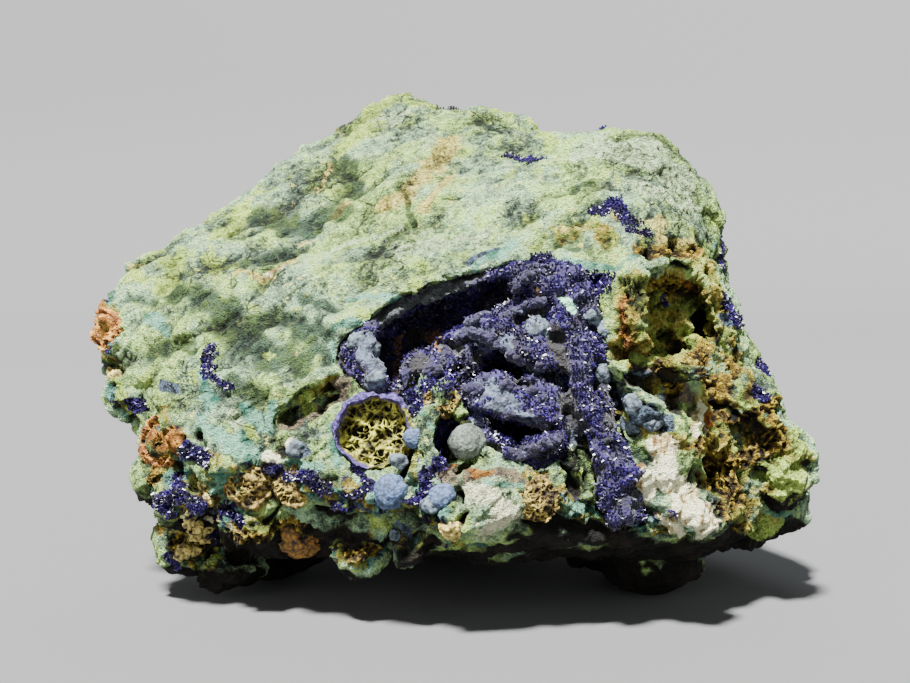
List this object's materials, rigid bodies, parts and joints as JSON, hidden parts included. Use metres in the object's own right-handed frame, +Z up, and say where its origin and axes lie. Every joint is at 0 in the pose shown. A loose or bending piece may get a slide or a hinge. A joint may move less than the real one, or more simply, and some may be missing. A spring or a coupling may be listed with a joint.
{
  "type": "copper ore specimen",
  "caption": "Broken lump of altered rock on three feet, its front face opened by an azurite-lined hollow among limonite nodules, a cream chunk and a shaded recess.",
  "frame": {"origin": "on the surface that it stands on, under the middle of its bounding box", "axes": "+Z up as it stands, +X along its length, -Y towards the face with the hollow"},
  "size_m": [0.152, 0.1076, 0.108],
  "materials": {
    "altered_rock": "rough, broken and crusted with green, ochre and cream patches",
    "azurite": "velvety deep blue crust of tiny crystals"
  },
  "bodies": {
    "root": {"host_rock": "altered_rock", "azurite_crust": "azurite"}
  },
  "joints": []
}
